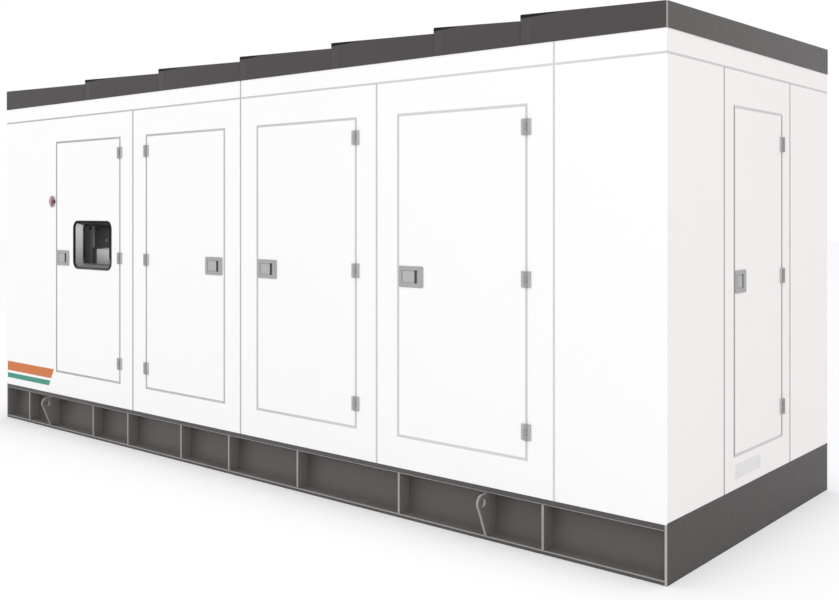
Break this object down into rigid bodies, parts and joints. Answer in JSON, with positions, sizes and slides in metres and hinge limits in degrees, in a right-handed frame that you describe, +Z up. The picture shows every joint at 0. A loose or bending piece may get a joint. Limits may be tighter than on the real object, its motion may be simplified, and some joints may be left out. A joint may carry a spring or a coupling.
{
  "type": "enclosed diesel generator",
  "caption": "Walk-in sound-proof diesel generator enclosure on a steel skid, with hinged service doors, a window over its controls and a stepped roof",
  "frame": {"origin": "on the ground under the middle of the enclosure", "axes": "+X along the length towards the end with the door, +Y from the front wall with its four doors to the back wall, +Z up"},
  "size_m": [6.762, 2.564, 3.078],
  "materials": {
    "wall_paint": "smooth white powder coat",
    "skid_paint": "dark grey satin paint",
    "skid_edges": "dark grey paint worn light along the edges",
    "roof_paint": "dark grey satin paint",
    "fitting_grey": "light grey powder coat",
    "hinge_grey": "mid grey powder coat",
    "seal_rubber": "black extruded rubber",
    "window_glass": "clear toughened glass",
    "stop_red": "glossy red plastic",
    "cabinet_paint": "dark grey textured paint",
    "panel_black": "glossy black fascia",
    "relay_grey": "light grey paint"
  },
  "bodies": {
    "enclosure": {"skid_webs": "skid_paint", "skid_flanges": "skid_paint", "skid_end_plates": "skid_paint", "skid_stiffeners": "skid_edges", "floor_beams": "skid_paint", "floor_deck": "skid_paint", "lifting_lugs": "skid_edges", "front_wall_panels": "wall_paint", "front_wall_rails": "wall_paint", "front_header": "wall_paint", "right_wall_panels": "wall_paint", "right_wall_rails": "wall_paint", "right_header": "wall_paint", "back_wall_panels": "wall_paint", "left_wall_panels": "wall_paint", "roof_panels": "roof_paint", "frame_hinges": "hinge_grey", "back_hinges": "hinge_grey", "back_latches": "fitting_grey", "stop_plate": "fitting_grey", "control_cabinet": "cabinet_paint", "control_panel": "panel_black", "relay_box": "relay_grey"},
    "door_1": {"door_1": "wall_paint", "door_1_hinges": "hinge_grey", "door_1_latch": "fitting_grey", "door_1_window_seal": "seal_rubber", "door_1_glass": "window_glass"},
    "paddle_1": {"door_1_paddle": "fitting_grey"},
    "door_2": {"door_2": "wall_paint", "door_2_hinges": "hinge_grey", "door_2_latch": "fitting_grey"},
    "paddle_2": {"door_2_paddle": "fitting_grey"},
    "door_3": {"door_3": "wall_paint", "door_3_hinges": "hinge_grey", "door_3_latch": "fitting_grey"},
    "paddle_3": {"door_3_paddle": "fitting_grey"},
    "door_4": {"door_4": "wall_paint", "door_4_hinges": "hinge_grey", "door_4_latch": "fitting_grey"},
    "paddle_4": {"door_4_paddle": "fitting_grey"},
    "end_door": {"end_door": "wall_paint", "end_door_hinges": "hinge_grey", "end_door_latch": "fitting_grey"},
    "end_paddle": {"end_door_paddle": "fitting_grey"},
    "stop_button": {"stop_button": "stop_red"}
  },
  "joints": [
    {"name": "door_1_swing", "type": "hinge", "parent": "enclosure", "child": "door_1", "pos_m": [-1.522, -1.212, 1.522], "axis": [0, 0, 1], "range_deg": [0, 95]},
    {"name": "door_1_paddle_pull", "type": "hinge", "parent": "door_1", "child": "paddle_1", "pos_m": [-2.4515, -1.1975, 1.517], "axis": [0, 0, -1], "range_deg": [0, 35], "stiffness_Nm_per_rad": 1.5},
    {"name": "door_2_swing", "type": "hinge", "parent": "enclosure", "child": "door_2", "pos_m": [-1.154, -1.212, 1.522], "axis": [0, 0, -1], "range_deg": [0, 95]},
    {"name": "door_2_paddle_pull", "type": "hinge", "parent": "door_2", "child": "paddle_2", "pos_m": [-0.3705, -1.1975, 1.517], "axis": [0, 0, -1], "range_deg": [0, 35], "stiffness_Nm_per_rad": 1.5},
    {"name": "door_3_swing", "type": "hinge", "parent": "enclosure", "child": "door_3", "pos_m": [1.154, -1.212, 1.522], "axis": [0, 0, 1], "range_deg": [0, 110]},
    {"name": "door_3_paddle_pull", "type": "hinge", "parent": "door_3", "child": "paddle_3", "pos_m": [0.2245, -1.1975, 1.517], "axis": [0, 0, -1], "range_deg": [0, 35], "stiffness_Nm_per_rad": 1.5},
    {"name": "door_4_swing", "type": "hinge", "parent": "enclosure", "child": "door_4", "pos_m": [2.492, -1.212, 1.522], "axis": [0, 0, 1], "range_deg": [0, 110]},
    {"name": "door_4_paddle_pull", "type": "hinge", "parent": "door_4", "child": "paddle_4", "pos_m": [1.5625, -1.1975, 1.517], "axis": [0, 0, -1], "range_deg": [0, 35], "stiffness_Nm_per_rad": 1.5},
    {"name": "end_door_swing", "type": "hinge", "parent": "enclosure", "child": "end_door", "pos_m": [3.372, 0.363, 1.522], "axis": [0, 0, 1], "range_deg": [0, 110]},
    {"name": "end_door_paddle_pull", "type": "hinge", "parent": "end_door", "child": "end_paddle", "pos_m": [3.3575, -0.3225, 1.517], "axis": [0, 0, -1], "range_deg": [0, 35], "stiffness_Nm_per_rad": 1.5},
    {"name": "stop_button_push", "type": "slide", "parent": "enclosure", "child": "stop_button", "axis": [0, 1, 0], "range_m": [0, 0.004], "stiffness_N_per_m": 800}
  ]
}
